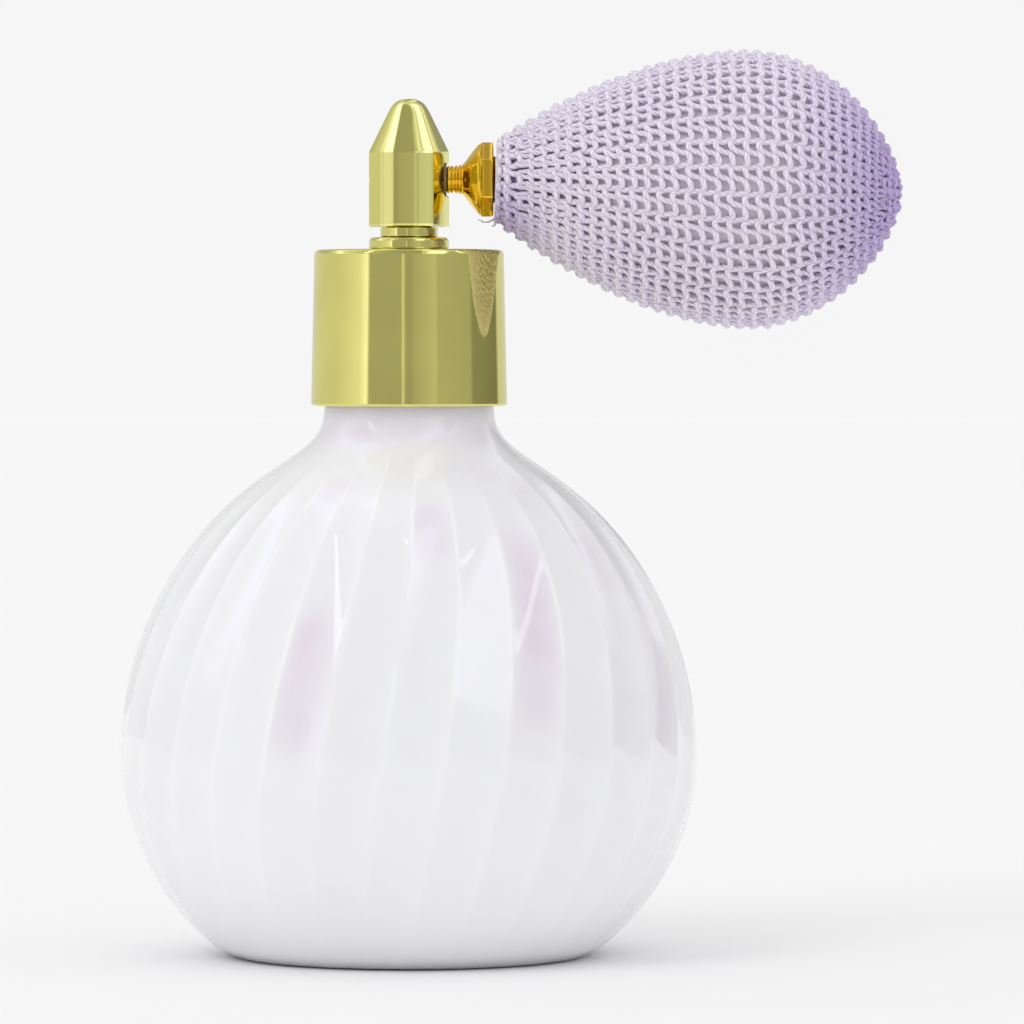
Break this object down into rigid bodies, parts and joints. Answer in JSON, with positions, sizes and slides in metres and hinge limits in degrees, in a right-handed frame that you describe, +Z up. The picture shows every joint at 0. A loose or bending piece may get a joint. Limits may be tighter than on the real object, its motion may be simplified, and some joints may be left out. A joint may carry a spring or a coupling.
{
  "type": "perfume atomiser",
  "caption": "Refillable perfume atomiser: swirl-ribbed opal glass globe, gold screw collar and hexagonal spray head, with a knit-covered rubber squeeze bulb on a side connector.",
  "frame": {"origin": "centre of the bottle's flat base, on the bottle's axis", "axes": "+Z up along the bottle's axis, +X from that axis towards the squeeze bulb, -Y the side seen from the front"},
  "size_m": [0.1116, 0.0822, 0.1294],
  "materials": {
    "opal_glass": "glossy white opal glass with faint lilac patches inside and swirled ribs",
    "pale_gold": "mirror-polished, greenish pale gold plating",
    "warm_gold": "polished, warm yellow gold plating",
    "inner_brass": "plain turned brass",
    "steel": "bright stainless steel",
    "white_plastic": "moulded white polypropylene",
    "clear_plastic": "translucent extruded plastic",
    "seal_foam": "soft off-white sealing rubber",
    "bulb_rubber": "matt grey-lilac rubber",
    "lilac_yarn": "silky pale lilac twisted yarn, knitted, deeper purple at the tail"
  },
  "bodies": {
    "bottle": {"glass_bottle": "opal_glass"},
    "seal": {"sealing_gasket": "seal_foam", "slip_washer": "clear_plastic"},
    "collar": {"collar_shell": "pale_gold", "collar_insert": "white_plastic"},
    "sprayer": {"tube_holder": "white_plastic", "head_stem": "pale_gold", "ring_flange": "pale_gold", "head_body": "pale_gold", "dip_tube": "clear_plastic", "liquid_jet": "inner_brass", "nozzle_tip": "inner_brass", "bulb_nut": "warm_gold", "connector_washer": "seal_foam", "outlet_valve_seat": "inner_brass", "outlet_valve_spring": "steel", "rubber_bulb": "bulb_rubber", "knit_cover": "lilac_yarn", "tie_thread": "lilac_yarn"},
    "outlet_ball": {"outlet_valve_ball": "steel"},
    "bulb_tail": {"inlet_valve_body": "inner_brass", "inlet_valve_cage": "inner_brass", "gather_thread": "lilac_yarn"},
    "inlet_ball": {"inlet_valve_ball": "steel"}
  },
  "joints": [
    {"name": "closure_rise", "type": "slide", "parent": "bottle", "child": "seal", "axis": [0, 0, 1], "range_m": [0, 0.00476]},
    {"name": "collar_turn", "type": "hinge", "parent": "seal", "child": "collar", "pos_m": [0, 0, 0.09], "axis": [0, 0, 1], "range_deg": [0, 540]},
    {"name": "head_swivel", "type": "hinge", "parent": "seal", "child": "sprayer", "pos_m": [0, 0, 0.1], "axis": [0, 0, 1], "continuous": true},
    {"name": "bulb_squeeze", "type": "slide", "parent": "sprayer", "child": "bulb_tail", "axis": [-0.9993, 0, 0.0372], "range_m": [0, 0.014], "stiffness_N_per_m": 600, "deforming": ["rubber_bulb", "knit_cover"]},
    {"name": "outlet_ball_lift", "type": "slide", "parent": "sprayer", "child": "outlet_ball", "axis": [-1, 0, 0], "range_m": [0, 0.0007], "stiffness_N_per_m": 30, "springref_m": -0.0005, "deforming": ["outlet_valve_spring"]},
    {"name": "inlet_ball_lift", "type": "slide", "parent": "bulb_tail", "child": "inlet_ball", "axis": [-0.9993, 0, 0.0372], "range_m": [0, 0.0008]}
  ],
  "couplings": [
    {"joint": "collar_turn", "follows": "closure_rise", "rad_per_m": 1979}
  ]
}
